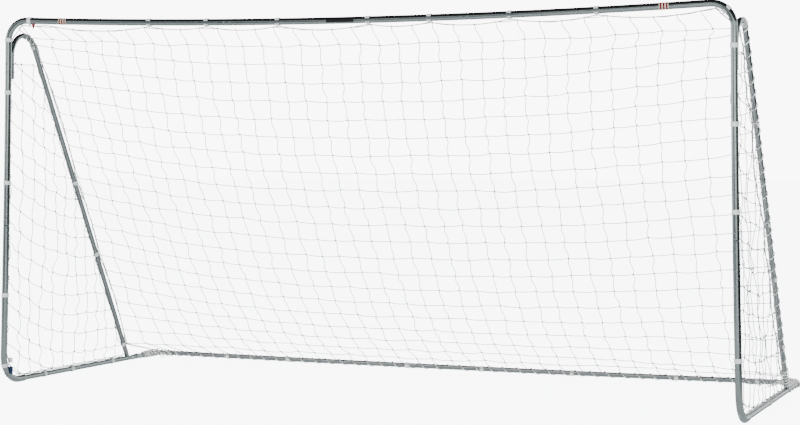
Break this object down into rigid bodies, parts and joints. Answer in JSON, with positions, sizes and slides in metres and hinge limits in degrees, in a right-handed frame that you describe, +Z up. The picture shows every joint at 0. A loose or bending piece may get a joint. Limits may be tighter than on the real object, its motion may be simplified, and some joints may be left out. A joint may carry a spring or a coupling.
{
  "type": "soccer goal",
  "caption": "Portable soccer goal: round steel posts and crossbar, leaning backstays, ground bars, snap-button joints, clips and a knotted net.",
  "frame": {"origin": "middle of the whole goal between left and right and between front and rear, at ground level", "axes": "+X to the right seen from the front, +Y from the mouth to the rear bar, +Z up"},
  "size_m": [3.7178, 1.5462, 1.8227],
  "materials": {
    "galvanised_tube": "galvanised steel tube with a thin clear coat, half gloss",
    "button_steel": "bright plated spring steel",
    "zinc_fastener": "zinc plated",
    "clip_plastic": "light grey moulded plastic",
    "net_twine": "white knotted twine"
  },
  "bodies": {
    "goal_frame": {"back_net": "net_twine", "crossbar_center": "galvanised_tube", "crossbar_clip_1": "clip_plastic", "crossbar_clip_2": "clip_plastic", "crossbar_clip_3": "clip_plastic", "crossbar_clip_4": "clip_plastic", "left_lower_bolt": "zinc_fastener", "left_lower_nut": "zinc_fastener", "left_lower_post": "galvanised_tube", "left_post_clip_1": "clip_plastic", "left_post_clip_2": "clip_plastic", "left_rear_corner": "galvanised_tube", "left_side_bar": "galvanised_tube", "left_side_net": "net_twine", "left_stay_clip_1": "clip_plastic", "left_stay_clip_2": "clip_plastic", "left_stay_hook": "galvanised_tube", "left_stay_lower": "galvanised_tube", "left_stay_middle": "galvanised_tube", "left_top_corner": "galvanised_tube", "left_upper_bolt": "zinc_fastener", "left_upper_nut": "zinc_fastener", "rear_bar_center": "galvanised_tube", "rear_bar_clip_1": "clip_plastic", "rear_bar_clip_2": "clip_plastic", "rear_bar_clip_3": "clip_plastic", "rear_bar_clip_4": "clip_plastic", "rear_bar_clip_5": "clip_plastic", "right_lower_bolt": "zinc_fastener", "right_lower_nut": "zinc_fastener", "right_lower_post": "galvanised_tube", "right_post_clip_1": "clip_plastic", "right_post_clip_2": "clip_plastic", "right_rear_corner": "galvanised_tube", "right_side_bar": "galvanised_tube", "right_side_net": "net_twine", "right_stay_clip_1": "clip_plastic", "right_stay_clip_2": "clip_plastic", "right_stay_hook": "galvanised_tube", "right_stay_lower": "galvanised_tube", "right_stay_middle": "galvanised_tube", "right_top_corner": "galvanised_tube", "right_upper_bolt": "zinc_fastener", "right_upper_nut": "zinc_fastener"},
    "left_crossbar_button": {"left_crossbar_button": "button_steel"},
    "left_front_bend_button": {"left_front_bend_button": "button_steel"},
    "left_post_button": {"left_post_button": "button_steel"},
    "left_rear_bar_button": {"left_rear_bar_button": "button_steel"},
    "left_side_bar_button": {"left_side_bar_button": "button_steel"},
    "left_stay_foot_button": {"left_stay_foot_button": "button_steel"},
    "left_stay_lower_button": {"left_stay_lower_button": "button_steel"},
    "left_stay_upper_button": {"left_stay_upper_button": "button_steel"},
    "right_crossbar_button": {"right_crossbar_button": "button_steel"},
    "right_front_bend_button": {"right_front_bend_button": "button_steel"},
    "right_post_button": {"right_post_button": "button_steel"},
    "right_rear_bar_button": {"right_rear_bar_button": "button_steel"},
    "right_side_bar_button": {"right_side_bar_button": "button_steel"},
    "right_stay_foot_button": {"right_stay_foot_button": "button_steel"},
    "right_stay_lower_button": {"right_stay_lower_button": "button_steel"},
    "right_stay_upper_button": {"right_stay_upper_button": "button_steel"}
  },
  "joints": [
    {"name": "left_crossbar_button_press", "type": "slide", "parent": "goal_frame", "child": "left_crossbar_button", "axis": [0, 1, 0], "range_m": [0, 0.0042], "stiffness_N_per_m": 600},
    {"name": "left_front_bend_button_press", "type": "slide", "parent": "goal_frame", "child": "left_front_bend_button", "axis": [-0.9998, 0.0203, 0], "range_m": [0, 0.0056], "stiffness_N_per_m": 600},
    {"name": "left_post_button_press", "type": "slide", "parent": "goal_frame", "child": "left_post_button", "axis": [0, 1, 0], "range_m": [0, 0.0042], "stiffness_N_per_m": 600},
    {"name": "left_rear_bar_button_press", "type": "slide", "parent": "goal_frame", "child": "left_rear_bar_button", "axis": [0.0155, 0.9999, 0], "range_m": [0, 0.004], "stiffness_N_per_m": 600},
    {"name": "left_side_bar_button_press", "type": "slide", "parent": "goal_frame", "child": "left_side_bar_button", "axis": [-0.9998, 0.0201, 0], "range_m": [0, 0.004], "stiffness_N_per_m": 600},
    {"name": "left_stay_foot_button_press", "type": "slide", "parent": "goal_frame", "child": "left_stay_foot_button", "axis": [0.0013, 0.8695, 0.494], "range_m": [0, 0.004], "stiffness_N_per_m": 600},
    {"name": "left_stay_lower_button_press", "type": "slide", "parent": "goal_frame", "child": "left_stay_lower_button", "axis": [0.0013, 0.8695, 0.494], "range_m": [0, 0.004], "stiffness_N_per_m": 600},
    {"name": "left_stay_upper_button_press", "type": "slide", "parent": "goal_frame", "child": "left_stay_upper_button", "axis": [0.0014, 0.8695, 0.494], "range_m": [0, 0.004], "stiffness_N_per_m": 600},
    {"name": "right_crossbar_button_press", "type": "slide", "parent": "goal_frame", "child": "right_crossbar_button", "axis": [0, 1, 0], "range_m": [0, 0.0042], "stiffness_N_per_m": 600},
    {"name": "right_front_bend_button_press", "type": "slide", "parent": "goal_frame", "child": "right_front_bend_button", "axis": [0.9998, 0.0203, 0], "range_m": [0, 0.0056], "stiffness_N_per_m": 600},
    {"name": "right_post_button_press", "type": "slide", "parent": "goal_frame", "child": "right_post_button", "axis": [0, 1, 0], "range_m": [0, 0.0042], "stiffness_N_per_m": 600},
    {"name": "right_rear_bar_button_press", "type": "slide", "parent": "goal_frame", "child": "right_rear_bar_button", "axis": [-0.0155, 0.9999, 0], "range_m": [0, 0.004], "stiffness_N_per_m": 600},
    {"name": "right_side_bar_button_press", "type": "slide", "parent": "goal_frame", "child": "right_side_bar_button", "axis": [0.9998, 0.0201, 0], "range_m": [0, 0.004], "stiffness_N_per_m": 600},
    {"name": "right_stay_foot_button_press", "type": "slide", "parent": "goal_frame", "child": "right_stay_foot_button", "axis": [-0.0013, 0.8695, 0.494], "range_m": [0, 0.004], "stiffness_N_per_m": 600},
    {"name": "right_stay_lower_button_press", "type": "slide", "parent": "goal_frame", "child": "right_stay_lower_button", "axis": [-0.0013, 0.8695, 0.494], "range_m": [0, 0.004], "stiffness_N_per_m": 600},
    {"name": "right_stay_upper_button_press", "type": "slide", "parent": "goal_frame", "child": "right_stay_upper_button", "axis": [-0.0014, 0.8695, 0.494], "range_m": [0, 0.004], "stiffness_N_per_m": 600}
  ]
}
